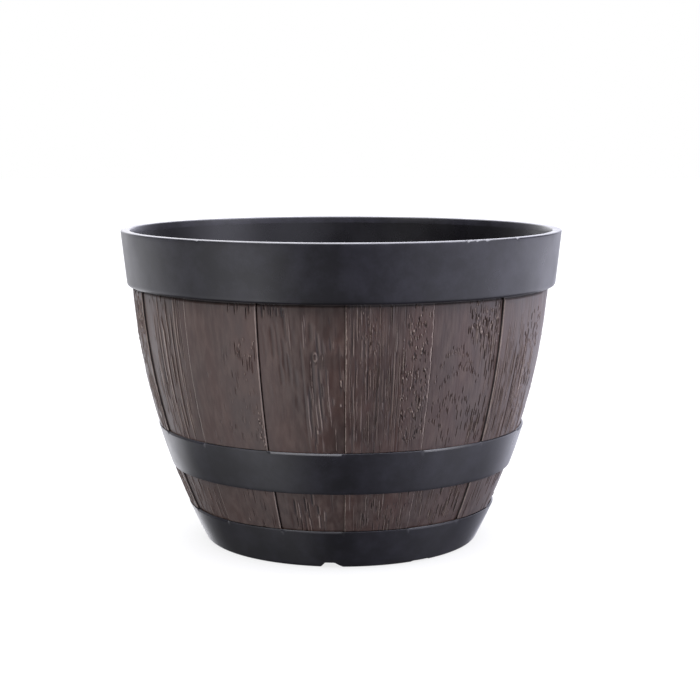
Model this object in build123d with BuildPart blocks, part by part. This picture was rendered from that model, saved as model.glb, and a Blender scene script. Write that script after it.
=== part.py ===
from build123d import *
import os
from math import cos, degrees, hypot, radians, sin, sqrt

# A small barrel planter: a black inner pot dressed as half a barrel. Sixteen wood-look
# staves stand round the pot, alternately proud and set back. Their heads are tucked behind
# the deep band at the rim, their feet behind the foot band, and a flat hoop is let into
# the proud staves. Lengths are millimetres and angles degrees. The pot stands on Z = 0
# about the Z axis, and azimuths are counted from the front, -Y, towards +X.

# Overall sizes
top_diameter = 225.0
base_diameter = 140.0
height = 160.0

# Barrel wall: how far its arc bulges beyond the straight line from foot to shoulder
wall_bulge = 7.0

# Rim band
rim_band_height = 28.0
rim_flare = 2.9
rim_step = 2.3
rim_thickness = 4.6
rim_cap_depth = 3.5
rim_cap_draft = 0.6
rim_lower_rounding = 1.6
rim_outer_rounding = 1.0
rim_inner_rounding = 0.7

# Staves
stave_count = 16
first_stave_azimuth = 1.0
stave_back_thickness = 1.0
stave_recess = 1.0
stave_joint_gap = 0.2
stave_edge_rounding = 0.4
stave_head_tuck = 10.0

# Middle hoop
hoop_base = 40.0
hoop_width = 21.0
hoop_stand = 0.2
hoop_lower_rounding = 0.4
hoop_upper_rounding = 0.7

# Foot band
foot_band_height = 20.0
foot_band_stand = 0.2
foot_band_rounding = 0.6
foot_ledge_height = 6.0
foot_ledge_width = 4.0
foot_rounding = 1.6

# Drain notches in the foot, in pairs
notch_pair_count = 3
first_notch_azimuth = -3.7
notch_spacing = 37.4
notch_mouth_width = 11.4
notch_roof_width = 4.6
notch_roof_shift = -1.1
notch_rounding = 0.8
deep_notch_height = 2.7
shallow_notch_height = 0.8

# Inner pot
pot_wall_thickness = 1.2
pot_floor_thickness = 2.0
pot_corner_radius = 5.0
pot_heel_radius = 3.0
pot_edge_thickness = 1.8
drain_hole_diameter = 7.0
drain_hole_count = 8
drain_ring_diameter = 84.0

# Clearances: between curved faces, and at the ends of the pads beside a band
seat_clearance = 0.1
pad_end_clearance = 0.15

# Sizes that follow from the ones above
notches = [
    (first_notch_azimuth + pair * 360 / notch_pair_count + step, notch_height)
    for pair in range(notch_pair_count)
    for step, notch_height in ((0, deep_notch_height), (notch_spacing, shallow_notch_height))
]
top_radius = top_diameter / 2
base_radius = base_diameter / 2
rim_band_base = height - rim_band_height
rim_lower_radius = top_radius - rim_flare
rim_corner_radius = top_radius + rim_outer_rounding * rim_flare / rim_band_height
shoulder_radius = rim_lower_radius - rim_step
hoop_top = hoop_base + hoop_width
stave_head = rim_band_base + stave_head_tuck
stave_back_depth = stave_recess + stave_back_thickness
pot_outer_depth = stave_back_depth + seat_clearance
pot_inner_depth = pot_outer_depth + pot_wall_thickness
pot_flare_base = stave_head + seat_clearance
pot_edge_height = height - rim_cap_depth
mouth_radius = top_radius - rim_thickness
pot_edge_inner = mouth_radius - rim_cap_draft
pot_edge_outer = pot_edge_inner + pot_edge_thickness
pot_floor_top = foot_ledge_height + pot_floor_thickness
stave_pitch = 360 / stave_count
stave_gap_angle = degrees(stave_joint_gap / shoulder_radius)

# The wall's outer face, where the proud staves lie, is one arc in the section: from the
# foot's edge on the ground to the shoulder under the rim band. Its centre lies far inside.
wall_chord = hypot(shoulder_radius - base_radius, rim_band_base)
wall_arc_radius = (wall_chord**2 / 4 + wall_bulge**2) / (2 * wall_bulge)
wall_run = (shoulder_radius - base_radius) / wall_chord
wall_rise = rim_band_base / wall_chord
wall_centre_offset = wall_arc_radius - wall_bulge
wall_centre_radius = (base_radius + shoulder_radius) / 2 - wall_rise * wall_centre_offset
wall_centre_height = rim_band_base / 2 + wall_run * wall_centre_offset


def wall_point(z, depth):
    """The point of the section at height z, depth inside the outer face."""
    arc_radius = wall_arc_radius - depth
    return (wall_centre_radius + sqrt(arc_radius**2 - (z - wall_centre_height) ** 2), z)


def wall_line(z_from, z_to, depth):
    """Draw the wall's arc at one depth between two heights."""
    ThreePointArc(
        wall_point(z_from, depth),
        wall_point((z_from + z_to) / 2, depth),
        wall_point(z_to, depth),
    )


def wall_strip(z_low, z_high, outer_depth, inner_depth):
    """The closed outline of a strip that lies along the wall between two depths."""
    with BuildLine() as outline:
        wall_line(z_low, z_high, outer_depth)
        Line(wall_point(z_high, outer_depth), wall_point(z_high, inner_depth))
        wall_line(z_high, z_low, inner_depth)
        Line(wall_point(z_low, inner_depth), wall_point(z_low, outer_depth))
    return outline.edges()


def section_plane(azimuth):
    """The upright plane through the axis at an azimuth: x outwards, y upwards."""
    angle = radians(azimuth - 90)
    return Plane(
        origin=(0, 0, 0),
        x_dir=(cos(angle), sin(angle), 0),
        z_dir=(sin(angle), -cos(angle), 0),
    )


def save(part, name):
    """Label a finished piece and write it."""
    part.label = name
    export_step(part, os.path.join("parts", name + ".step"))


# Inner pot: floor, bulged wall, and a mouth that flares out to meet the rim band
def make_inner_pot():
    edge_outer = (pot_edge_outer, pot_edge_height)
    edge_inner = (pot_edge_inner, pot_edge_height)
    flare_outer = wall_point(pot_flare_base, pot_outer_depth)
    flare_inner = wall_point(pot_flare_base, pot_inner_depth)
    floor_edge = wall_point(pot_floor_top, pot_inner_depth)
    with BuildPart() as inner_pot:
        with BuildSketch(Plane.XZ) as pot_section:
            with BuildLine():
                Line((0, foot_ledge_height), wall_point(foot_ledge_height, pot_outer_depth))
                wall_line(foot_ledge_height, pot_flare_base, pot_outer_depth)
                Line(flare_outer, edge_outer)
                Line(edge_outer, edge_inner)
                Line(edge_inner, flare_inner)
                wall_line(pot_flare_base, pot_floor_top, pot_inner_depth)
                Line(floor_edge, (0, pot_floor_top))
                Line((0, pot_floor_top), (0, foot_ledge_height))
            make_face()
            heel = pot_section.vertices().group_by(Axis.Y)[0].sort_by(Axis.X)[-1]
            fillet(heel, radius=pot_heel_radius)
            floor_corner = pot_section.vertices().sort_by_distance(floor_edge)[0]
            fillet(floor_corner, radius=pot_corner_radius)
        revolve(axis=Axis.Z)
        with BuildSketch(Plane.XY.offset(pot_floor_top)):
            with PolarLocations(drain_ring_diameter / 2, drain_hole_count):
                Circle(drain_hole_diameter / 2)
        extrude(amount=-pot_floor_thickness, mode=Mode.SUBTRACT)
    return inner_pot.part


# Rim band: a deep flared band whose cap closes over the edge of the pot
def make_rim_band():
    skirt_foot = wall_point(rim_band_base, -seat_clearance)
    skirt_bend = wall_point(pot_flare_base, -seat_clearance)
    cap_seat_outer = pot_edge_outer + seat_clearance
    with BuildPart() as rim_band:
        with BuildSketch(Plane.XZ) as band_section:
            with BuildLine():
                Line((rim_lower_radius, rim_band_base), (rim_corner_radius, height))
                Line((rim_corner_radius, height), (mouth_radius, height))
                Line((mouth_radius, height), (pot_edge_inner, pot_edge_height))
                Line((pot_edge_inner, pot_edge_height), (cap_seat_outer, pot_edge_height))
                Line((cap_seat_outer, pot_edge_height), skirt_bend)
                wall_line(pot_flare_base, rim_band_base, -seat_clearance)
                Line(skirt_foot, (rim_lower_radius, rim_band_base))
            make_face()
            corners = band_section.vertices()
            fillet(corners.group_by(Axis.Y)[0].sort_by(Axis.X)[-1], radius=rim_lower_rounding)
            top_corners = band_section.vertices().group_by(Axis.Y)[-1].sort_by(Axis.X)
            fillet(top_corners[-1], radius=rim_outer_rounding)
            top_corners = band_section.vertices().group_by(Axis.Y)[-1].sort_by(Axis.X)
            fillet(top_corners[0], radius=rim_inner_rounding)
        revolve(axis=Axis.Z)
    return rim_band.part


# Middle hoop: a flat strap let into the proud staves. Over the staves that are set back, its
# rounded upper edge is a small ledge.
def make_middle_hoop():
    outline = wall_strip(hoop_base, hoop_top, -hoop_stand, stave_recess - seat_clearance)
    with BuildPart() as middle_hoop:
        with BuildSketch(Plane.XZ) as hoop_section:
            make_face(outline)
            for level, rounding in ((0, hoop_lower_rounding), (-1, hoop_upper_rounding)):
                corner = hoop_section.vertices().group_by(Axis.Y)[level].sort_by(Axis.X)[-1]
                fillet(corner, radius=rounding)
        revolve(axis=Axis.Z)
    return middle_hoop.part


# Foot band: a skirt round the feet of the staves, with a ledge inside that carries the pot
def make_foot_band():
    skirt_depth = stave_recess - seat_clearance
    ledge_radius = wall_point(foot_ledge_height, pot_outer_depth)[0] - foot_ledge_width
    with BuildPart() as foot_band:
        with BuildSketch(Plane.XZ) as foot_section:
            with BuildLine():
                wall_line(0, foot_band_height, -foot_band_stand)
                Line(
                    wall_point(foot_band_height, -foot_band_stand),
                    wall_point(foot_band_height, skirt_depth),
                )
                wall_line(foot_band_height, foot_ledge_height, skirt_depth)
                Line(
                    wall_point(foot_ledge_height, skirt_depth),
                    (ledge_radius, foot_ledge_height),
                )
                Line((ledge_radius, foot_ledge_height), (ledge_radius, 0))
                Line((ledge_radius, 0), wall_point(0, -foot_band_stand))
            make_face()
            heel = foot_section.vertices().group_by(Axis.Y)[0].sort_by(Axis.X)[-1]
            fillet(heel, radius=foot_rounding)
            lip = foot_section.vertices().group_by(Axis.Y)[-1].sort_by(Axis.X)[-1]
            fillet(lip, radius=foot_band_rounding)
        revolve(axis=Axis.Z)
        for azimuth, notch_height in notches:
            with BuildSketch(facing_plane(azimuth, ledge_radius / 2)) as notch:
                make_face(notch_outline(notch_height))
                fillet(notch.vertices().group_by(Axis.Y)[-1], radius=notch_rounding)
            extrude(amount=base_radius, mode=Mode.SUBTRACT)
    return foot_band.part


def facing_plane(azimuth, distance):
    """An upright plane that faces outwards at an azimuth, on the ground: y upwards."""
    angle = radians(azimuth - 90)
    return Plane(
        origin=(distance * cos(angle), distance * sin(angle), 0),
        x_dir=(-sin(angle), cos(angle), 0),
        z_dir=(cos(angle), sin(angle), 0),
    )


def notch_outline(notch_height):
    """A drain notch seen from outside: uneven slopes up to a flat roof."""
    mouth_half = notch_mouth_width / 2
    roof_half = notch_roof_width / 2
    slope_share = notch_height / deep_notch_height
    roof_left = -mouth_half + (mouth_half - roof_half + notch_roof_shift) * slope_share
    roof_right = mouth_half - (mouth_half - roof_half - notch_roof_shift) * slope_share
    with BuildLine() as outline:
        Polyline(
            (-mouth_half, 0),
            (roof_left, notch_height),
            (roof_right, notch_height),
            (mouth_half, 0),
            close=True,
        )
    return outline.edges()


# Stave: a thin back from the foot ledge to the rim band. A proud stave carries pads that
# fill the wall out to its full depth and leave a rebate for the hoop and the foot band.
def make_stave(number):
    proud = number % 2 == 0
    side_plane = section_plane(first_stave_azimuth + number * stave_pitch + stave_gap_angle / 2)
    sweep_angle = stave_pitch - stave_gap_angle
    pads = (
        wall_strip(foot_band_height + pad_end_clearance, hoop_base - pad_end_clearance, 0, stave_recess),
        wall_strip(hoop_top + pad_end_clearance, stave_head, 0, stave_recess),
    )
    back = wall_strip(foot_ledge_height, stave_head, stave_recess, stave_back_depth)
    with BuildPart() as stave:
        with BuildSketch(side_plane):
            make_face(back)
        revolve(axis=Axis.Z, revolution_arc=sweep_angle)
        if proud:
            for pad in pads:
                with BuildSketch(side_plane):
                    make_face(pad)
                revolve(axis=Axis.Z, revolution_arc=sweep_angle)
            arrises = stave.edges().filter_by(GeomType.CIRCLE).filter_by(
                lambda edge: abs(edge.radius - wall_arc_radius) < seat_clearance
            )
            fillet(arrises, radius=stave_edge_rounding)
    return stave.part


os.makedirs("parts", exist_ok=True)
save(make_inner_pot(), "inner_pot")
save(make_rim_band(), "rim_band")
save(make_middle_hoop(), "middle_hoop")
save(make_foot_band(), "foot_band")
for number in range(stave_count):
    save(make_stave(number), f"stave_{number + 1:02d}")
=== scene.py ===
import math

import bpy
import numpy as np
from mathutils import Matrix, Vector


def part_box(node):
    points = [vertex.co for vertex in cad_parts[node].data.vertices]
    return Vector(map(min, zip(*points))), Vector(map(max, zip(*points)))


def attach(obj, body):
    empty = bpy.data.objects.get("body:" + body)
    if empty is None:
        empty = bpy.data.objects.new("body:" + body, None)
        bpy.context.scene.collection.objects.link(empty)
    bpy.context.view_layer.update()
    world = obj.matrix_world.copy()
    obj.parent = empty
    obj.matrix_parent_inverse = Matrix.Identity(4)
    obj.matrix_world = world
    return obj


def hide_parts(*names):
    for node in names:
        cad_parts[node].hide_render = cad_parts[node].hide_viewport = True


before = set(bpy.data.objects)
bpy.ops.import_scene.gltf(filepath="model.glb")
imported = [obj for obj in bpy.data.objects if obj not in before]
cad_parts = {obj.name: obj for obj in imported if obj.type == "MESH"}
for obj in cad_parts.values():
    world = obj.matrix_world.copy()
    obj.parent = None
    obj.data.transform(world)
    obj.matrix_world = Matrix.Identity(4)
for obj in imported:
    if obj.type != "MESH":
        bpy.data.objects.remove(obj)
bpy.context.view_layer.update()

MM = 0.001


# Inner pot. The black liner that holds the soil, injection moulded in polypropylene over a
# polished core, so it is smoother and glossier inside than the bands are outside. Its edge is
# closed over by the rim band, and its floor stands on the foot band's ledge.

def linear(hex_colour):
    """An sRGB hex colour as linear red, green, blue and alpha."""
    channels = [int(hex_colour[i:i + 2], 16) / 255 for i in (1, 3, 5)]
    curve = [c / 12.92 if c <= 0.04045 else ((c + 0.055) / 1.055) ** 2.4 for c in channels]
    return (*curve, 1.0)


def add_node(tree, kind, values=None, links=None, **settings):
    """Add a shader node, set its options and socket values, and link its inputs."""
    node = tree.nodes.new("ShaderNode" + kind)
    for option, value in settings.items():
        setattr(node, option, value)
    for socket, value in (values or {}).items():
        node.inputs[socket].default_value = value
    for socket, source in (links or {}).items():
        tree.links.new(source, node.inputs[socket])
    return node


def new_material(name):
    """A fresh material with its own empty node tree, and that tree."""
    material = bpy.data.materials.new(name)
    material.use_nodes = True
    material.node_tree.nodes.clear()
    return material, material.node_tree


def dress(piece, material):
    """Give a piece one material all over."""
    piece.data.materials.clear()
    piece.data.materials.append(material)


def moulded_polypropylene(name, colour, scuff_and_sheen_colour, roughness_low, roughness_high, grain_height):
    """Black moulded polypropylene: cloudy gloss, paler blotches of scuffs and painted sheen, and a
    fine mould grain.
    """
    cloud_size = 20 * MM
    scuff_and_sheen_size = 14 * MM
    mould_grain_size = 0.5 * MM
    material, tree = new_material(name)
    place = add_node(tree, "TexCoord").outputs["Object"]
    cloud = add_node(tree, "TexNoise", {"Scale": 1 / cloud_size, "Detail": 4.0}, {"Vector": place})
    scuff_and_sheen = add_node(
        tree, "TexNoise", {"Scale": 1 / scuff_and_sheen_size, "Detail": 6.0, "Roughness": 0.7}, {"Vector": place}
    )
    mould_grain = add_node(
        tree, "TexNoise", {"Scale": 1 / mould_grain_size, "Detail": 2.0}, {"Vector": place}
    )
    # Paler blotches: scuffs, with painted sheen that stands in for blotchy reflections.
    scuff_and_sheen_amount = add_node(
        tree, "MapRange",
        {"From Min": 0.42, "From Max": 0.66, "To Min": 0.0, "To Max": 0.9},
        {"Value": scuff_and_sheen.outputs["Fac"]},
    )
    surface = add_node(
        tree, "Mix",
        {"A": linear(colour), "B": linear(scuff_and_sheen_colour)},
        data_type="RGBA",
    )
    tree.links.new(scuff_and_sheen_amount.outputs["Result"], surface.inputs["Factor"])
    gloss = add_node(
        tree, "MapRange",
        {"From Min": 0.3, "From Max": 0.7, "To Min": roughness_low, "To Max": roughness_high},
        {"Value": cloud.outputs["Fac"]},
    )
    relief = add_node(
        tree, "Bump", {"Strength": 1.0, "Distance": grain_height},
        {"Height": mould_grain.outputs["Fac"]},
    )
    shader = add_node(
        tree, "BsdfPrincipled", {"IOR": 1.49, "Specular IOR Level": 0.5},
        {
            "Base Color": surface.outputs["Result"],
            "Roughness": gloss.outputs["Result"],
            "Normal": relief.outputs["Normal"],
        },
    )
    add_node(tree, "OutputMaterial", links={"Surface": shader.outputs["BSDF"]})
    return material


# The polished core leaves hardly any grain, so the inside is glossier than the bands. Its black is
# darker than theirs as painted shade for the hollow of the pot.
inner_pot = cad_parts["inner_pot"]
dress(inner_pot, moulded_polypropylene(
    "black_polypropylene_polished_core_painted_shade", "#08070a", "#0f0e12", 0.22, 0.32, 0.004 * MM,
))


# Staves. Sixteen wood-look staves of dark brown polypropylene, eight proud and eight set back
# by 1 mm. Ribs, pores and pits of the grain were cut into the mould, so they are real relief;
# painted shade darkens their cuts and a painted highlight pales their crests. Heads and feet
# are tucked behind the bands.

# Lengths are in millimetres, and azimuths in degrees from the front towards the right.
stave_count = 16
first_joint_azimuth = 1.0
stave_recess = 1.0
stave_back_depth = 2.0
joint_gap = 0.08
base_radius = 70.0
shoulder_radius = 107.3
wall_bulge = 7.0
band_pad_gap = 0.15
row_pitch = 0.55
hidden_pitch = 5
grain_tuck = 0.5
plain_tuck = 1
column_count = 210
foot_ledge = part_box("stave_01")[0].z / MM
stave_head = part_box("stave_01")[1].z / MM
foot_band_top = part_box("foot_band")[1].z / MM
hoop_low, hoop_high = (corner.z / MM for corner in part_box("middle_hoop"))
rim_band_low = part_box("rim_band")[0].z / MM
pitch_angle = 360 / stave_count
gap_angle = math.degrees(joint_gap / shoulder_radius)
stave_width = math.radians(pitch_angle) * shoulder_radius

chord = math.hypot(shoulder_radius - base_radius, rim_band_low)
arc_radius = (chord**2 / 4 + wall_bulge**2) / (2 * wall_bulge)
arc_offset = arc_radius - wall_bulge
arc_centre_radius = (base_radius + shoulder_radius) / 2 - rim_band_low / chord * arc_offset
arc_centre_height = rim_band_low / 2 + (shoulder_radius - base_radius) / chord * arc_offset


def wall_radius(z, depth):
    """Radius of the wall's arc at height z, depth inside the proud face, in millimetres."""
    return arc_centre_radius + math.sqrt((arc_radius - depth) ** 2 - (z - arc_centre_height) ** 2)


def heights(low, high, pitch):
    """Evenly spaced heights from low to high, at about the given pitch."""
    return np.linspace(low, high, max(2, round(abs(high - low) / pitch) + 1))


def turn_section(name, section, start_azimuth, sweep, steps):
    """Draw a closed section point by point, fill it and spin it about the Z axis."""
    bpy.ops.object.select_all(action="DESELECT")
    angle = math.radians(start_azimuth - 90)
    bpy.ops.mesh.primitive_circle_add(vertices=len(section), radius=1, location=(0, 0, 0))
    piece = bpy.context.object
    piece.name = piece.data.name = name
    for vertex, (radius, z) in zip(piece.data.vertices, section):
        vertex.co = (radius * MM * math.cos(angle), radius * MM * math.sin(angle), z * MM)
    bpy.ops.object.mode_set(mode="EDIT")
    bpy.ops.mesh.select_all(action="SELECT")
    closed = abs(sweep) == 360
    if not closed:
        bpy.ops.mesh.edge_face_add()
    bpy.ops.mesh.spin(
        steps=steps, angle=-math.radians(sweep),
        center=(0, 0, 0), axis=(0, 0, 1), use_auto_merge=closed,
    )
    bpy.ops.mesh.select_all(action="SELECT")
    if closed:
        bpy.ops.mesh.remove_doubles(threshold=0.001 * MM)
    bpy.ops.mesh.normals_make_consistent(inside=False)
    bpy.ops.object.mode_set(mode="OBJECT")
    return piece


def stave_section(proud):
    """The outline of a stave's section, up its outer face and down its back.

    Rows are close where the grain shows and wide where a band hides the face. A proud stave
    steps back behind the foot band and the hoop.
    """
    outline = []
    if proud:
        runs = (
            (foot_ledge, foot_band_top + band_pad_gap, stave_recess, hidden_pitch),
            (foot_band_top + band_pad_gap, hoop_low - band_pad_gap, 0, row_pitch),
            (hoop_low - band_pad_gap, hoop_high + band_pad_gap, stave_recess, hidden_pitch),
            (hoop_high + band_pad_gap, stave_head, 0, row_pitch),
        )
    else:
        runs = (
            (foot_ledge, foot_band_top - plain_tuck, stave_recess, hidden_pitch),
            (foot_band_top - grain_tuck, hoop_low + grain_tuck, stave_recess, row_pitch),
            (hoop_low + plain_tuck, hoop_high - plain_tuck, stave_recess, hidden_pitch),
            (hoop_high - grain_tuck, stave_head, stave_recess, row_pitch),
        )
    for low, high, depth, pitch in runs:
        outline += [(wall_radius(z, depth), z) for z in heights(low, high, pitch)]
    back = heights(stave_head, foot_ledge, hidden_pitch)
    return outline + [(wall_radius(z, stave_back_depth), z) for z in back]


stave_blanks = [
    turn_section(name, stave_section(proud), gap_angle / 2, pitch_angle - gap_angle, column_count)
    for name, proud in (("stave_blank_proud", True), ("stave_blank_recessed", False))
]


def smooth_step(low, high, value):
    """0 up to low, 1 from high on, and a smooth rise between them."""
    share = np.clip((value - low) / (high - low), 0, 1)
    return share * share * (3 - 2 * share)


def wander(across, along, seed):
    """Smooth random values from -1 to 1 that change about once a unit each way."""
    table_size = 97
    table = np.random.default_rng(seed).uniform(-1, 1, (table_size, table_size))
    x_cell = np.floor(across).astype(int)
    y_cell = np.floor(along).astype(int)
    x_share = smooth_step(0, 1, across - x_cell)
    y_share = smooth_step(0, 1, along - y_cell)
    x_low, x_high = x_cell % table_size, (x_cell + 1) % table_size
    y_low, y_high = y_cell % table_size, (y_cell + 1) % table_size
    low = table[x_low, y_low] * (1 - x_share) + table[x_high, y_low] * x_share
    high = table[x_low, y_high] * (1 - x_share) + table[x_high, y_high] * x_share
    return low * (1 - y_share) + high * y_share


def bump_profile(offset):
    """A rounded hump: 1 in its middle, and 0 once the offset is 1 to either side."""
    return np.clip(1 - np.abs(offset) ** 1.5, 0, 1)


def grain_marks(across, along, zones, lean, seed):
    """Depth of the marks that a stave's zones scatter over it: cuts above 0, crests below.

    A zone holds a count of marks, the ranges of their middles across and along the stave, how
    far the zone bows down at its sides, and the half width, length and depth of a mark. Each
    cut has a small raised lip on its right, and each crest a small cut there. Long marks are
    broken along their length.
    """
    lip_share = 0.45
    lip_offset = 1.7
    unbroken_length = 12
    tilt_spread = 0.012
    rng = np.random.default_rng(seed)
    depths = np.zeros(len(across))
    bend = 0.40 * wander(across / 11, along / 18, seed + 1)
    bend += 0.14 * wander(across / 3, along / 6, seed + 2)
    for count, left, right, low, high, bow, width, length, depth in zones:
        for order in range(count):
            middle = left + (right - left) * (order + rng.uniform(0, 1)) / count
            side = 2 * (middle - left) / (right - left) - 1
            centre = rng.uniform(low, high) - bow * side**2
            reach = 0.5 * length * rng.uniform(0.6, 1.5)
            half = width * rng.uniform(0.7, 1.3)
            strength = depth * rng.uniform(0.6, 1.2)
            tilt = lean + rng.uniform(-tilt_spread, tilt_spread)
            window = 3 * half + 1 + abs(tilt) * reach
            close = (np.abs(across - middle) < window) & (np.abs(along - centre) < reach)
            near = np.nonzero(close)[0]
            if len(near) == 0:
                continue
            off = (across[near] + bend[near] - middle - tilt * (along[near] - centre)) / half
            run = np.abs(along[near] - centre) / reach
            swing = strength * (1 - smooth_step(0.5, 1, run))
            if length > unbroken_length:
                breaks = wander(along[near] / 7 + 50, along[near] * 0 + middle, seed + 5)
                swing *= smooth_step(-0.7, 0.2, breaks)
            mark = swing * (bump_profile(off) - lip_share * bump_profile(off - lip_offset))
            depths[near] = np.where(np.abs(mark) > np.abs(depths[near]), mark, depths[near])
    return depths


def knot_marks(across, along, knots):
    """Small eyes in the grain: a pit inside a raised ring, with a shallow moat round it. Through the
    stave's colour the pit takes painted shade and the ring a painted highlight.
    """
    pit_depth = 0.16
    ring_height = 0.20
    moat_depth = 0.12
    depths = np.zeros(len(across))
    for middle, centre, half_width, half_height in knots:
        reach = np.hypot((across - middle) / half_width, (along - centre) / half_height)
        depths += pit_depth * bump_profile(reach / 0.7)
        depths -= ring_height * bump_profile((reach - 1) / 0.3)
        depths += moat_depth * bump_profile((reach - 1.5) / 0.4)
    return depths


def carve(stave, start_azimuth, proud, grain, seed):
    """Cut the grain into a stave's outer face and keep each point's depth of cut.

    The sides of a proud stave are rounded over and paled with a painted highlight, those of a
    stave set back hold a crevice darkened with painted shade, and the face is cut under the rim
    band, with a painted shadow there, and left alone behind the bands. The tone kept with each
    point carries this painted shade and highlight into the colour.
    """
    mean_cut = 0.34
    deepest_cut = 0.98
    worn_edge = 0.50
    steepest_turn = 0.98
    crevice_width = 0.5
    crevice_cut = 0.4
    crevice_painted_shade = 0.25
    under_rim_cut = 0.6
    under_rim_painted_shadow = 0.5
    hidden_tone = 0.2
    lean, shade, fibre_depth, edge_roughness, zones, knots = grain
    mesh = stave.data
    points = np.zeros(len(mesh.vertices) * 3)
    mesh.vertices.foreach_get("co", points)
    points = points.reshape(-1, 3) / MM
    radius = np.hypot(points[:, 0], points[:, 1])
    azimuth = np.degrees(np.arctan2(points[:, 1], points[:, 0])) + 90
    across = ((azimuth - start_azimuth) % 360) / pitch_angle * stave_width
    along = points[:, 2]
    outward_radius = radius - arc_centre_radius
    outward_height = along - arc_centre_height
    reach = np.hypot(outward_radius, outward_height)
    outer = np.nonzero(arc_radius - reach < stave_recess + 0.01)[0]
    u, z = across[outer], along[outer]
    tone = grain_marks(u, z, zones, lean, seed) + knot_marks(u, z, knots)
    fibres = wander(u / 0.6, z / 5, seed + 10) + wander(u / 1.4, z / 9, seed + 11)
    tone += shade + fibre_depth * fibres
    cut = mean_cut + tone + 0.10 * wander(u / 6, z / 30, seed + 12)
    edge_run = np.minimum(u, stave_width - u)
    if proud:
        ragged = wander(u / 50, z / 2.2, seed + 20) + 0.6 * wander(u / 50, z / 0.8, seed + 21)
        worn = worn_edge + edge_roughness * ragged
        turn = np.clip(1 - edge_run / worn, 0, steepest_turn)
        cut += worn * (1 - np.sqrt(1 - turn**2))
        # Painted highlight: the rounded sides of a proud stave are painted paler.
        tone -= 0.45 * np.clip(1.6 - edge_run / worn, 0, 1)
    else:
        crevice = np.clip(1 - np.minimum(u, 3 * (stave_width - u)) / crevice_width, 0, 1)
        cut += crevice * crevice_cut
        # Painted shade in the crevice beside the step up to the proud staves.
        tone += crevice * crevice_painted_shade
    under_rim = smooth_step(rim_band_low - 1.5, rim_band_low - 0.8, z)
    cut += under_rim_cut * under_rim
    # Painted shadow under the rim band.
    tone += under_rim_painted_shadow * under_rim
    bare = 1 - smooth_step(rim_band_low + 1, rim_band_low + 4, z)
    bare *= smooth_step(foot_band_top - 0.7, foot_band_top - 0.3, z)
    below_hoop = 1 - smooth_step(hoop_low + 0.2, hoop_low + 0.6, z)
    above_hoop = smooth_step(hoop_high - 0.6, hoop_high - 0.2, z)
    bare *= np.maximum(below_hoop, above_hoop)
    cut = np.clip(cut, 0, deepest_cut) * bare
    share = (reach[outer] - cut) / reach[outer]
    new_radius = arc_centre_radius + outward_radius[outer] * share
    points[outer, 0] *= new_radius / radius[outer]
    points[outer, 1] *= new_radius / radius[outer]
    points[outer, 2] = arc_centre_height + outward_height[outer] * share
    mesh.vertices.foreach_set("co", (points * MM).ravel())
    # Each point's tone: depth of the marks with painted shade and highlight added, read by the colour.
    cut_and_painted_light = np.full(len(across), hidden_tone, dtype=np.float32)
    cut_and_painted_light[outer] = tone
    mesh.attributes.new("cut", "FLOAT", "POINT").data.foreach_set("value", cut_and_painted_light)
    mesh.update()


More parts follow.
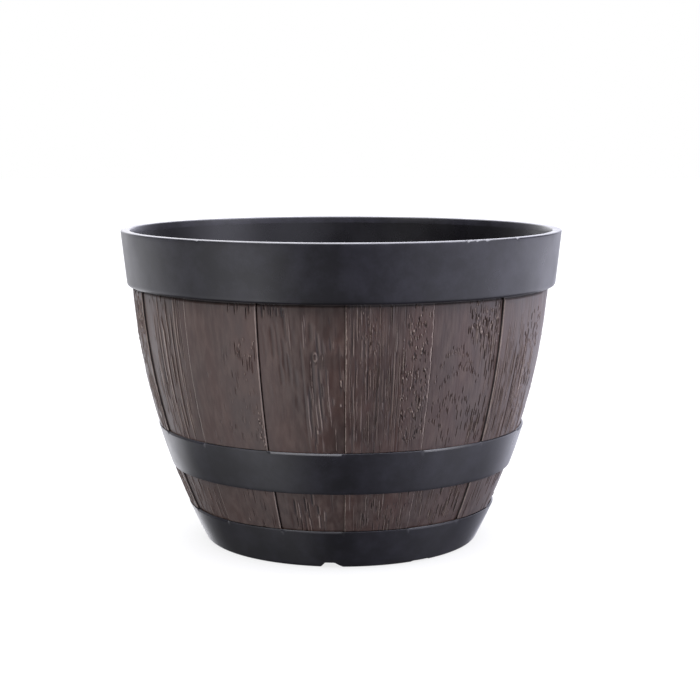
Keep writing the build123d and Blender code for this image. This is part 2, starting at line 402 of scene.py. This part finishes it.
def grained_polypropylene(name, red_brown, grey_brown, cut_painted_shade_colour, crest_painted_highlight_colour):
    """Brown moulded polypropylene, with painted shade darkening its grain and a painted highlight
    paling its crests, besides patches of dry brushing.

    A reddish and a greyer brown drift into each other along the grain.
    """
    drift_size = 12 * MM
    fibre_size = 0.35 * MM
    brush_size = 2.5 * MM
    material, tree = new_material(name)
    place = add_node(tree, "TexCoord").outputs["Object"]
    stretched = add_node(tree, "Mapping", {"Scale": (1, 1, 0.2)}, {"Vector": place})
    fibre_place = add_node(tree, "Mapping", {"Scale": (1, 1, 0.08)}, {"Vector": place})
    drift = add_node(
        tree, "TexNoise", {"Scale": 1 / drift_size, "Detail": 3.0},
        {"Vector": stretched.outputs["Vector"]},
    )
    drift_share = add_node(
        tree, "MapRange", {"From Min": 0.35, "From Max": 0.65}, {"Value": drift.outputs["Fac"]}
    )
    fibre = add_node(
        tree, "TexNoise", {"Scale": 1 / fibre_size, "Detail": 3.0},
        {"Vector": fibre_place.outputs["Vector"]},
    )
    brush = add_node(
        tree, "TexNoise", {"Scale": 1 / brush_size, "Detail": 5.0},
        {"Vector": stretched.outputs["Vector"]},
    )
    cut = add_node(tree, "Attribute", attribute_name="cut", attribute_type="GEOMETRY")
    body = add_node(
        tree, "Mix", {"A": linear(red_brown), "B": linear(grey_brown)},
        {"Factor": drift_share.outputs["Result"]}, data_type="RGBA",
    )
    # Painted highlight: crests turn paler with their height.
    crest_painted_highlight_share = add_node(
        tree, "MapRange", {"From Min": -0.03, "From Max": -0.32, "To Min": 0.0, "To Max": 0.85},
        {"Value": cut.outputs["Fac"]},
    )
    brush_share = add_node(
        tree, "MapRange", {"From Min": 0.40, "From Max": 0.70, "To Min": 0.0, "To Max": 0.17},
        {"Value": brush.outputs["Fac"]},
    )
    brush_and_painted_highlight = add_node(
        tree, "Math", links={0: crest_painted_highlight_share.outputs["Result"], 1: brush_share.outputs["Result"]},
        operation="MAXIMUM",
    )
    brushed_and_highlighted = add_node(
        tree, "Mix", {"B": linear(crest_painted_highlight_colour)},
        {"Factor": brush_and_painted_highlight.outputs["Value"], "A": body.outputs["Result"]}, data_type="RGBA",
    )
    # Painted shade: cuts turn darker with their depth.
    cut_painted_shade_share = add_node(
        tree, "MapRange", {"From Min": 0.06, "From Max": 0.4, "To Min": 0.0, "To Max": 0.8},
        {"Value": cut.outputs["Fac"]},
    )
    surface = add_node(
        tree, "Mix", {"B": linear(cut_painted_shade_colour)},
        {"Factor": cut_painted_shade_share.outputs["Result"], "A": brushed_and_highlighted.outputs["Result"]}, data_type="RGBA",
    )
    gloss = add_node(
        tree, "MapRange", {"From Min": 0.3, "From Max": 0.7, "To Min": 0.36, "To Max": 0.52},
        {"Value": brush.outputs["Fac"]},
    )
    relief = add_node(
        tree, "Bump", {"Strength": 1.0, "Distance": 0.02 * MM}, {"Height": fibre.outputs["Fac"]}
    )
    shader = add_node(
        tree, "BsdfPrincipled", {"IOR": 1.49, "Specular IOR Level": 0.55},
        {
            "Base Color": surface.outputs["Result"],
            "Roughness": gloss.outputs["Result"],
            "Normal": relief.outputs["Normal"],
        },
    )
    add_node(tree, "OutputMaterial", links={"Surface": shader.outputs["BSDF"]})
    return material


# The face of the staves: a dull sheen, with painted shade in the cuts and a painted highlight
# on the crests and along the rounded edges.
grained_brown = grained_polypropylene(
    "brown_polypropylene_wood_grain", "#432e27", "#3b2c27", "#17100e", "#8b7c72",
)
# Their sides: a far darker brown, painted shade for the steps between the staves, so the joints
# stay dark.
side_painted_shade_brown = grained_polypropylene(
    "brown_polypropylene_sides_painted_shade", "#1c1412", "#181210", "#120c0b", "#221a17",
)

# Each grain holds its lean, shade, fibre depth, edge roughness, zones and knots. A zone holds a
# count of marks, their left, right, low and high limits, bow, half width, length and depth, all
# but the count in mm. A knot holds its middle, its height on the stave, half width and half height.
ribbed = (0.01, 0.0, 0.02, 0.12, (
    (9, 12, 40, 88, 112, 0, 0.46, 84, -0.62),
    (9, 13, 41, 84, 112, 0, 0.50, 76, 0.48),
    (9, 6, 24, 62, 92, 0, 0.38, 26, -0.34),
    (9, 5, 24, 62, 92, 0, 0.36, 22, 0.28),
    (12, 4, 40, 20, 40, 0, 0.38, 14, -0.36),
    (10, 8, 36, 22, 38, 0, 0.35, 8, 0.40),
    (14, 8, 34, 62, 128, 0, 0.30, 3, 0.18),
), ())
smooth_dashed = (0.0, 0.0, 0.012, 0.10, (
    (5, 27, 41, 127, 133, 0, 0.38, 10, 0.50),
    (7, 30, 41, 101, 117, 0, 0.27, 5.5, 0.40),
    (12, 31, 41, 98, 116, 0, 0.34, 1.4, -0.36),
    (9, 22, 34, 90, 116, 0, 0.45, 6, 0.20),
    (26, 10, 41, 62, 98, 0, 0.50, 4, 0.17),
    (18, 24, 41, 64, 96, 0, 0.40, 2, -0.16),
    (14, 39, 41.5, 62, 82, 0, 0.36, 1.6, -0.40),
    (10, 2, 20, 64, 130, 0, 1.60, 16, 0.07),
    (12, 20, 40, 20, 40, 0, 0.40, 8, 0.26),
    (1, 19.8, 20.2, 23, 23.4, 0, 0.45, 1.3, -0.70),
), ())
streaked = (-0.05, 0.01, 0.012, 0.12, (
    (4, 3, 13, 100, 124, 0, 1.20, 30, 0.24),
    (5, 13, 32, 84, 124, 0, 1.10, 44, 0.30),
    (9, 22, 36, 66, 112, 0, 0.55, 30, 0.30),
    (4, 35, 40, 98, 122, 0, 1.10, 26, 0.34),
    (8, 24, 38, 64, 112, 0, 0.34, 26, -0.34),
    (6, 8, 30, 90, 126, 0, 0.34, 18, -0.20),
    (8, 2, 14, 125, 132, 0, 0.50, 7, 0.46),
    (1, 40, 40.2, 94.6, 95.2, 0, 0.60, 3.0, -0.60),
    (1, 40, 40.2, 84.2, 84.8, 0, 0.50, 1.8, -0.60),
    (1, 28, 28.4, 71, 72, 0, 0.55, 2.6, -0.60),
    (8, 10, 26, 22, 38, 0, 0.60, 10, 0.40),
    (5, 14, 30, 22, 38, 0, 0.50, 12, -0.40),
    (8, 4, 40, 22, 38, 0, 1.20, 16, 0.16),
    (4, 30, 41, 80, 116, 0, 1.60, 60, 0.12),
    (1, 37, 38, 90, 100, 0, 8.0, 150, 0.19),
), ((27.8, 107.4, 1.0, 2.0),))
grooved = (-0.01, 0.07, 0.03, 0.32, (
    (15, 0.8, 28, 90, 108, 0, 0.26, 90, -0.36),
    (15, 1.6, 29, 90, 108, 0, 0.34, 80, 0.26),
    (30, 0.8, 28, 66, 124, 0, 0.26, 18, -0.24),
    (44, 6, 16, 101, 130, 0, 0.40, 2.2, 0.24),
    (24, 6, 16, 104, 130, 0, 0.32, 1.6, -0.30),
    (80, 27, 40.5, 66, 131, 0, 0.32, 2.2, 0.38),
    (90, 27, 40.5, 66, 131, 0, 0.36, 1.5, -0.48),
    (10, 26, 40, 62, 128, 0, 0.32, 20, -0.34),
    (18, 2, 38, 20, 40, 0, 0.30, 16, -0.34),
    (30, 10, 40, 20, 40, 0, 0.36, 3.5, 0.36),
    (1, 10, 11, 90, 100, 0, 13.0, 150, 0.14),
), ())
pored = (0.0, 0.02, 0.022, 0.16, (
    (50, 20, 41, 112, 131, 0, 0.26, 4.2, 0.38),
    (44, 22, 41, 110, 131, 0, 0.36, 1.5, -0.48),
    (10, 24, 41, 104, 128, 0, 0.30, 14, -0.36),
    (20, 3, 27, 108, 111, 14, 0.28, 2.6, 0.27),
    (14, 3, 27, 107, 110, 14, 0.36, 1.8, -0.34),
    (26, 6, 30, 97, 103, 8, 0.28, 2.4, 0.28),
    (20, 7, 28, 80, 90, 6, 0.28, 3.6, 0.30),
    (34, 29, 41, 62, 114, 0, 0.26, 7.0, 0.38),
    (14, 29, 41, 62, 118, 0, 0.32, 18, -0.40),
    (14, 2, 14, 72, 86, 0, 0.32, 3.0, 0.34),
    (22, 8, 40, 62, 78, 0, 0.28, 5.0, 0.28),
    (10, 18, 38, 22, 40, 0, 0.45, 9, 0.50),
    (8, 26, 40, 22, 40, 0, 0.36, 9, -0.40),
    (14, 2, 20, 20, 40, 0, 0.34, 9, -0.34),
), ())
fine_lined = (0.012, 0.0, 0.02, 0.14, (
    (15, 1, 26, 76, 88, 0, 0.28, 54, -0.46),
    (14, 2, 26, 76, 88, 0, 0.30, 50, 0.30),
    (10, 1, 27, 96, 124, 0, 0.30, 16, -0.22),
    (34, 22, 40, 80, 124, 0, 0.34, 3.4, 0.40),
    (36, 22, 40, 66, 122, 0, 0.38, 1.8, -0.46),
    (14, 20, 41, 62, 100, 0, 0.36, 26, -0.44),
    (14, 2, 40, 20, 40, 0, 0.36, 10, 0.32),
), ())
# One grain for each stave, from the first joint right of the front, round by the right.
grains = (
    grooved, pored, fine_lined, smooth_dashed,
    ribbed, streaked, grooved, pored,
    fine_lined, ribbed, smooth_dashed, streaked,
    pored, ribbed, smooth_dashed, streaked,
)
first_seed = 100
seed_step = 41
stave_smooth_angle = math.radians(50)
for index, grain in enumerate(grains):
    node_name = f"stave_{index + 1:02d}"
    start = first_joint_azimuth + index * pitch_angle
    blank = stave_blanks[index % 2]
    stave = blank.copy()
    stave.data = blank.data.copy()
    stave.name = stave.data.name = f"carved_{node_name}"
    bpy.context.scene.collection.objects.link(stave)
    bpy.ops.object.select_all(action="DESELECT")
    stave.select_set(True)
    bpy.context.view_layer.objects.active = stave
    stave.rotation_euler.z = math.radians(start)
    bpy.ops.object.transform_apply(location=False, rotation=True, scale=False)
    carve(stave, start, index % 2 == 0, grain, first_seed + seed_step * index)
    bpy.ops.object.shade_smooth_by_angle(angle=stave_smooth_angle)
    dress(stave, grained_brown)
    # The sides take the second material, which paints shade.
    stave.data.materials.append(side_painted_shade_brown)
    # Only the two sides are faces with more than four corners.
    for face in stave.data.polygons:
        face.material_index = int(face.loop_total > 4)
    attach(stave, "root")
    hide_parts(node_name)
for blank in stave_blanks:
    bpy.data.objects.remove(blank)


# Middle hoop. A flat strap of the same black plastic, sprung into the rebates of the proud
# staves, so it lies flush with them. Over the staves that are set back its top edge is drafted,
# which leaves a small sloping ledge that catches the light.

# All three bands: a soft sheen from a finely textured mould, with paler blotches of scuffs and painted
# sheen.
satin_black = moulded_polypropylene(
    "black_polypropylene_satin_moulded", "#0f0e13", "#212027", 0.27, 0.37, 0.008 * MM,
)

band_stand = 0.2
band_inner_depth = 0.9
band_row_pitch = 2
band_rounding_segments = 4
band_top_rounding = 0.3
hoop_low_rounding = 0.4
ledge_draft = 0.85
ledge_height = 1.0
ledge_run_out = 0.03
face_wave = 0.04
turn_steps = 720
band_smooth_angle = math.radians(40)


def bevel_ring(piece, radius, z, width, segments):
    """Round every edge that runs round the Z axis at one radius and height, in millimetres."""
    tolerance = 0.02 * MM
    bpy.ops.object.mode_set(mode="EDIT")
    bpy.ops.mesh.select_all(action="DESELECT")
    bpy.ops.object.mode_set(mode="OBJECT")
    mesh = piece.data
    on_ring = [
        abs(math.hypot(vertex.co.x, vertex.co.y) - radius * MM) < tolerance
        and abs(vertex.co.z - z * MM) < tolerance
        for vertex in mesh.vertices
    ]
    for edge in mesh.edges:
        edge.select = on_ring[edge.vertices[0]] and on_ring[edge.vertices[1]]
    bpy.ops.object.mode_set(mode="EDIT")
    bpy.ops.mesh.select_mode(type="EDGE")
    bpy.ops.mesh.bevel(offset=width * MM, segments=segments, profile=0.5, affect="EDGES")
    bpy.ops.mesh.select_mode(type="VERT")
    bpy.ops.object.mode_set(mode="OBJECT")


def shift_points(piece, shift):
    """Move a piece's points by shift(radius, azimuth, z), which gives two changes, all in mm."""
    points = np.zeros(len(piece.data.vertices) * 3)
    piece.data.vertices.foreach_get("co", points)
    points = points.reshape(-1, 3) / MM
    radius = np.hypot(points[:, 0], points[:, 1])
    azimuth = np.degrees(np.arctan2(points[:, 1], points[:, 0])) + 90
    radius_change, z_change = shift(radius, azimuth, points[:, 2])
    points[:, :2] *= (1 + radius_change / radius)[:, None]
    points[:, 2] += z_change
    piece.data.vertices.foreach_set("co", (points * MM).ravel())
    piece.data.update()


hoop_heights = [*heights(hoop_low, hoop_high - ledge_height, band_row_pitch), hoop_high]
hoop_section = [(wall_radius(z, -band_stand), z) for z in hoop_heights]
hoop_section += [
    (wall_radius(z, band_inner_depth), z) for z in heights(hoop_high, hoop_low, hidden_pitch)
]
hoop = turn_section("turned_middle_hoop", hoop_section, 0, 360, turn_steps)
for z, rounding in ((hoop_low, hoop_low_rounding), (hoop_high, band_top_rounding)):
    bevel_ring(hoop, wall_radius(z, -band_stand), z, rounding, band_rounding_segments)


def draft_band(band_top):
    """A shift that waves a band's face and slopes its top edge over the staves set back.

    Only the outer skin moves, and the inner face stays on the staves.
    """

    def shift(radius, azimuth, z):
        place = ((azimuth - first_joint_azimuth) / pitch_angle) % 2
        free = smooth_step(1, 1 + ledge_run_out, place)
        free *= 1 - smooth_step(2 - ledge_run_out, 2, place)
        top = np.clip((z - band_top + ledge_height) / ledge_height, 0, 1)
        inner_radius = np.array([wall_radius(height, band_inner_depth) for height in z])
        outer = smooth_step(0.3, 0.8, radius - inner_radius)
        wave = face_wave * wander(azimuth / 9, z / 14, 7) - face_wave
        return (wave - ledge_draft * free * top) * outer, np.zeros(len(z))

    return shift


shift_points(hoop, draft_band(hoop_high))
bpy.ops.object.shade_smooth_by_angle(angle=band_smooth_angle)
dress(hoop, satin_black)
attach(hoop, "root")
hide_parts("middle_hoop")


# Foot band. The lowest band, which closes round the feet of the staves and stands on the
# ground with a ring cut by drain notches. Satin black polypropylene from a textured mould.

foot_ledge_width = 4
foot_ledge_radius = wall_radius(foot_ledge, stave_back_depth) - foot_ledge_width
foot_rounding = 1.6
foot_rounding_segments = 6
notch_pairs = 3
notch_rounding = 0.4
notch_mouth_half = 5.7
notch_roof_half = 2.3
notch_roof_shift = -1.1
deep_notch = 2.7
deep_notch_azimuth = -3.7
shallow_notch = 0.8
shallow_notch_azimuth = 33.7
foot_heights = [*heights(0, foot_band_top - ledge_height, band_row_pitch), foot_band_top]
foot_section = [(wall_radius(z, -band_stand), z) for z in foot_heights]
foot_section += [
    (wall_radius(z, band_inner_depth), z) for z in heights(foot_band_top, foot_ledge, hidden_pitch)
]
foot_section += [(foot_ledge_radius, foot_ledge), (foot_ledge_radius, 0)]
foot = turn_section("turned_foot_band", foot_section, 0, 360, turn_steps)
bevel_ring(foot, wall_radius(0, -band_stand), 0, foot_rounding, foot_rounding_segments)
bevel_ring(
    foot, wall_radius(foot_band_top, -band_stand), foot_band_top,
    band_top_rounding, band_rounding_segments,
)
shift_points(foot, draft_band(foot_band_top))


def notch_cutter(azimuth, height):
    """A bar that points outwards at an azimuth, with the outline of a drain notch.

    The notch narrows upwards to a roof, rounded at both its corners and a little left of the
    middle. The bar starts inside the foot ring and ends outside it.
    """
    below_ground = 1
    share = height / deep_notch
    left_run = (notch_mouth_half - notch_roof_half + notch_roof_shift) * share
    right_run = (notch_mouth_half - notch_roof_half - notch_roof_shift) * share
    outline = (
        (-notch_mouth_half - left_run / height * below_ground, -below_ground),
        (-notch_mouth_half + left_run, height),
        (notch_mouth_half - right_run, height),
        (notch_mouth_half + right_run / height * below_ground, -below_ground),
    )
    angle = math.radians(azimuth - 90)
    outward_x, outward_y = math.cos(angle), math.sin(angle)
    inner_end = foot_ledge_radius / 2
    bpy.ops.object.select_all(action="DESELECT")
    bpy.ops.mesh.primitive_circle_add(vertices=4, radius=1, location=(0, 0, 0))
    cutter = bpy.context.object
    for vertex, (side, z) in zip(cutter.data.vertices, outline):
        vertex.co = (
            (inner_end * outward_x - side * outward_y) * MM,
            (inner_end * outward_y + side * outward_x) * MM,
            z * MM,
        )
    bpy.ops.object.mode_set(mode="EDIT")
    bpy.ops.mesh.select_all(action="SELECT")
    bpy.ops.mesh.edge_face_add()
    run = 2 * inner_end * MM
    push = (run * outward_x, run * outward_y, 0)
    bpy.ops.mesh.extrude_region_move(TRANSFORM_OT_translate={"value": push})
    bpy.ops.mesh.select_all(action="SELECT")
    bpy.ops.mesh.normals_make_consistent(inside=False)
    bpy.ops.mesh.select_all(action="DESELECT")
    bpy.ops.object.mode_set(mode="OBJECT")
    points = [vertex.co for vertex in cutter.data.vertices]
    for edge in cutter.data.edges:
        first, second = (points[index] for index in edge.vertices)
        roof = min(first.z, second.z) > (height - 0.01) * MM
        edge.select = roof and (first - second).length > inner_end * MM
    bpy.ops.object.mode_set(mode="EDIT")
    bpy.ops.mesh.select_mode(type="EDGE")
    bpy.ops.mesh.bevel(offset=notch_rounding * MM, segments=band_rounding_segments, affect="EDGES")
    bpy.ops.mesh.select_mode(type="VERT")
    bpy.ops.object.mode_set(mode="OBJECT")
    return cutter


for pair in range(notch_pairs):
    for azimuth, height in (
        (deep_notch_azimuth, deep_notch), (shallow_notch_azimuth, shallow_notch),
    ):
        cutter = notch_cutter(pair * 360 / notch_pairs + azimuth, height)
        cut = foot.modifiers.new("notch", "BOOLEAN")
        cut.operation = "DIFFERENCE"
        cut.object = cutter
        bpy.context.view_layer.objects.active = foot
        bpy.ops.object.modifier_apply(modifier="notch")
        bpy.data.objects.remove(cutter)
bpy.ops.object.select_all(action="DESELECT")
foot.select_set(True)
bpy.ops.object.shade_smooth_by_angle(angle=band_smooth_angle)
dress(foot, satin_black)
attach(foot, "root")
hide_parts("foot_band")


# Rim band. The deep flared band at the top, whose cap closes over the pot's edge and whose
# skirt covers the heads of the staves. Satin black, with faint waves from shrinkage on its
# face and small nicks in the front of its edge.

rim_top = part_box("rim_band")[1].z / MM
rim_low_radius = 109.6
rim_top_radius = 112.6
mouth_radius = 107.9
pot_edge = 156.5
pot_edge_inner = 107.3
pot_edge_outer = 109.15
skirt_clearance = 0.1
cap_height = 8
rim_row_pitch = 2.5
rim_low_rounding = 1.5
rim_top_rounding = 0.8
mouth_rounding = 0.7
rim_flare = rim_top_radius - rim_low_radius
rim_height = rim_top - rim_band_low
rim_section = [
    (rim_low_radius + rim_flare * (z - rim_band_low) / rim_height, z)
    for z in heights(rim_band_low, rim_top, rim_row_pitch)
]
rim_section += [(mouth_radius, rim_top), (pot_edge_inner, pot_edge), (pot_edge_outer, pot_edge)]
rim_section += [
    (wall_radius(z, -skirt_clearance), z)
    for z in heights(pot_edge - cap_height, rim_band_low, hidden_pitch)
]
rim = turn_section("turned_rim_band", rim_section, 0, 360, turn_steps)
bevel_ring(rim, rim_low_radius, rim_band_low, rim_low_rounding, band_rounding_segments)
bevel_ring(rim, rim_top_radius, rim_top, rim_top_rounding, band_rounding_segments)
bevel_ring(rim, mouth_radius, rim_top, mouth_rounding, band_rounding_segments)

shrinkage_wave = 0.10
# A nick: its azimuth and half width in degrees, and its depth.
rim_nicks = ((-36, 0.6, 0.3), (31, 0.5, 0.6), (33.5, 0.5, 0.4), (36.5, 0.8, 0.4), (47, 0.5, 0.4))


def weather_rim(radius, azimuth, z):
    """Wave the outer face, and nick the outer edge of the top."""
    face = smooth_step(rim_low_radius - 0.6, rim_low_radius, radius)
    change = (shrinkage_wave * wander(azimuth / 7, z / 16, 3) - shrinkage_wave) * face
    edge = smooth_step(rim_top - 1.2, rim_top - 0.3, z) * smooth_step(3, 2, rim_top_radius - radius)
    nick = np.zeros(len(z))
    for place, width, depth in rim_nicks:
        off = (azimuth - place + 180) % 360 - 180
        nick += depth * edge * np.clip(1 - np.abs(off) / width, 0, 1)
    return change - 0.5 * nick, -nick


shift_points(rim, weather_rim)
bpy.ops.object.shade_smooth_by_angle(angle=band_smooth_angle)
dress(rim, satin_black)
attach(rim, "root")
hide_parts("rim_band")


# Floor, light and camera. A plain pale floor, a room that is bright behind and beside the
# planter and dim in front of it, and a soft box at each side.

floor_size = 12
paper_grey = (0.12, 0.12, 0.12, 1)
paper_glow = 0.78
bpy.ops.object.select_all(action="DESELECT")
bpy.ops.mesh.primitive_plane_add(size=floor_size, location=(0, 0, 0))
floor = bpy.context.object
floor.name = "floor"
# White paper that is nearly lit out. Only its shaded part by the planter is less than white.
white_paper, tree = new_material("floor_white_paper")
paper = add_node(tree, "BsdfDiffuse", {"Color": paper_grey})
glow = add_node(tree, "Emission", {"Color": (1, 1, 1, 1), "Strength": paper_glow})
lit = add_node(tree, "AddShader", links={0: paper.outputs["BSDF"], 1: glow.outputs["Emission"]})
add_node(tree, "OutputMaterial", links={"Surface": lit.outputs["Shader"]})
dress(floor, white_paper)
# The camera alone sees the floor, so the tilted wall is lit and mirrored from below it.
floor.visible_diffuse = False
floor.visible_glossy = False
floor.visible_transmission = False
floor.visible_shadow = False

world = bpy.data.worlds.new("studio")
bpy.context.scene.world = world
world.use_nodes = True
tree = world.node_tree
tree.nodes.clear()


def level_ramp(tree, source, stops):
    """A smooth ramp of brightness over a value from 0 to 1, and the level that its white means."""
    brightest = max(level for _, level in stops)
    ramp = add_node(tree, "ValToRGB", links={"Fac": source})
    ramp.color_ramp.interpolation = "B_SPLINE"
    while len(ramp.color_ramp.elements) < len(stops):
        ramp.color_ramp.elements.new(1.0)
    for element, (place, level) in zip(ramp.color_ramp.elements, stops):
        element.position = place
        element.color = (level / brightest, level / brightest, level / brightest, 1)
    scaled = add_node(tree, "Math", {1: brightest}, {0: ramp.outputs["Color"]}, operation="MULTIPLY")
    return scaled.outputs["Value"]


# Levels over the azimuth, counted from the front towards the right: below the horizon, where
# the tilted wall looks, and above it, where the mouth and the edges look.
low_levels = (
    (-90, 0.55), (-78, 0.60), (-62, 1.25), (-50, 1.65), (-41, 1.60), (-32, 0.90), (-22, 0.40),
    (0, 0.33), (14, 0.36), (28, 0.76), (42, 1.15), (55, 1.35), (80, 1.75), (112, 1.95),
    (135, 1.40), (160, 1.10), (180, 1.15), (215, 1.22), (242, 1.00), (262, 0.62),
)
high_levels = (
    (-90, 0.08), (-60, 0.05), (-42, 0.18), (-30, 0.28), (-15, 0.16), (0, 0.02), (12, 0.45),
    (28, 1.15), (40, 0.60), (50, 0.60), (62, 1.70), (80, 2.10), (97, 0.50), (118, 0.10),
    (145, 0.50), (165, 2.40), (180, 2.80), (195, 2.80), (215, 1.00), (240, 0.25), (262, 0.08),
)
# Shares of the low level over the height of the direction, where 0 is straight down and 0.5 is
# level, for five parts of the room.
front_fall = (
    (0.0, 0.20), (0.07, 0.30), (0.15, 0.95), (0.20, 0.55), (0.27, 0.50), (0.34, 1.0), (0.5, 1.0),
)
left_fall = (
    (0.0, 0.15), (0.07, 0.22), (0.14, 0.85), (0.20, 1.40), (0.27, 1.90), (0.34, 1.0), (0.5, 1.0),
)
right_fall = (
    (0.0, 0.08), (0.07, 0.14), (0.14, 0.34), (0.20, 0.85), (0.26, 1.10), (0.33, 1.0), (0.5, 1.0),
)
back_left_fall = (
    (0.0, 0.06), (0.20, 0.10), (0.27, 0.25), (0.30, 0.90), (0.345, 2.60), (0.38, 1.15),
    (0.42, 1.0), (0.5, 1.0),
)
back_right_fall = (
    (0.0, 0.06), (0.20, 0.10), (0.27, 0.24), (0.31, 0.70), (0.35, 1.45), (0.40, 1.05), (0.5, 1.0),
)
# How far an azimuth counts as the front, which has its own shares.
front_share = ((-90, 0), (-50, 0), (-28, 1), (26, 1), (48, 0), (262, 0))
ceiling_level = 9.0
direction = add_node(tree, "TexCoord").outputs["Generated"]
compass = add_node(tree, "TexGradient", links={"Vector": direction}, gradient_type="RADIAL")
split = add_node(tree, "SeparateXYZ", links={"Vector": direction})
rise = add_node(
    tree, "MapRange", {"From Min": -1.0, "From Max": 1.0}, {"Value": split.outputs["Z"]}
)
on_right = add_node(
    tree, "MapRange", {"From Min": -0.1, "From Max": 0.35}, {"Value": split.outputs["X"]}
)
behind = add_node(
    tree, "MapRange", {"From Min": -0.2, "From Max": 0.35}, {"Value": split.outputs["Y"]}
)
above = add_node(
    tree, "MapRange", {"From Min": -0.03, "From Max": 0.05}, {"Value": split.outputs["Z"]}
)
ceiling = add_node(
    tree, "MapRange", {"From Min": 0.60, "From Max": 0.95, "To Min": 0.0, "To Max": ceiling_level},
    {"Value": split.outputs["Z"]},
)
# The compass reads 0.25 at the front.
low, high, front = (
    level_ramp(
        tree, compass.outputs["Fac"],
        [(azimuth / 360 + 0.25, level) for azimuth, level in levels],
    )
    for levels in (low_levels, high_levels, front_share)
)
falls = [
    level_ramp(tree, rise.outputs["Result"], stops)
    for stops in (left_fall, right_fall, back_left_fall, back_right_fall, front_fall)
]
fall = add_node(
    tree, "Mix", links={"Factor": on_right.outputs["Result"], "A": falls[0], "B": falls[1]}
)
back_fall = add_node(
    tree, "Mix", links={"Factor": on_right.outputs["Result"], "A": falls[2], "B": falls[3]}
)
fall = add_node(
    tree, "Mix",
    links={
        "Factor": behind.outputs["Result"],
        "A": fall.outputs["Result"],
        "B": back_fall.outputs["Result"],
    },
)
fall = add_node(tree, "Mix", links={"Factor": front, "A": fall.outputs["Result"], "B": falls[4]})
low = add_node(tree, "Math", links={0: low, 1: fall.outputs["Result"]}, operation="MULTIPLY")
high = add_node(tree, "Math", links={0: high, 1: ceiling.outputs["Result"]}, operation="ADD")
strength = add_node(
    tree, "Mix",
    links={"Factor": above.outputs["Result"], "A": low.outputs["Value"], "B": high.outputs["Value"]},
)
# The camera sees white, and everything else the room, a little bluer on the right.
ray = add_node(tree, "LightPath")
seen_white = add_node(tree, "Background", {"Color": (1, 1, 1, 1), "Strength": 1.0})
tint = add_node(
    tree, "Mix", {"A": (0.99, 0.99, 1.05, 1), "B": (0.95, 0.95, 1.11, 1)},
    {"Factor": on_right.outputs["Result"]}, data_type="RGBA",
)
seen_room = add_node(
    tree, "Background",
    links={"Color": tint.outputs["Result"], "Strength": strength.outputs["Result"]},
)
sky = add_node(
    tree, "MixShader",
    links={
        0: ray.outputs["Is Camera Ray"],
        1: seen_room.outputs["Background"],
        2: seen_white.outputs["Background"],
    },
)
add_node(tree, "OutputWorld", links={"Surface": sky.outputs["Shader"]})


def soft_box(name, azimuth, distance, height, width, tall, power):
    """A rectangular lamp, aimed at the planter's middle from an azimuth. In metres and watts."""
    aim_height = 0.09
    lamp = bpy.data.lights.new(name, "AREA")
    lamp.shape = "RECTANGLE"
    lamp.size = width
    lamp.size_y = tall
    lamp.energy = power
    holder = bpy.data.objects.new(name, lamp)
    bpy.context.scene.collection.objects.link(holder)
    angle = math.radians(azimuth)
    holder.location = (distance * math.sin(angle), -distance * math.cos(angle), height)
    tilt = math.atan2(height - aim_height, distance)
    holder.rotation_euler = (math.pi / 2 - tilt, 0, angle)


soft_box("soft_box_left", -50, 0.9, 0.95, 0.3, 0.5, 2.0)
soft_box("soft_box_right", 82, 0.75, 0.90, 0.5, 0.5, 4.0)

# The photograph's angle: 0.8 m away, looking down by 8 degrees.
sensor_width = 36
focal_length = 80.65
camera_place = (0, -0.8074, 0.2094)
looking_down = 7.96
turned_right = 0.318
camera_data = bpy.data.cameras.new("camera")
camera = bpy.data.objects.new("camera", camera_data)
bpy.context.scene.collection.objects.link(camera)
camera_data.sensor_width = sensor_width
camera_data.lens = focal_length
camera.location = camera_place
camera.rotation_euler = (math.radians(90 - looking_down), 0, -math.radians(turned_right))
bpy.context.scene.camera = camera
bpy.context.scene.view_settings.view_transform = "Standard"
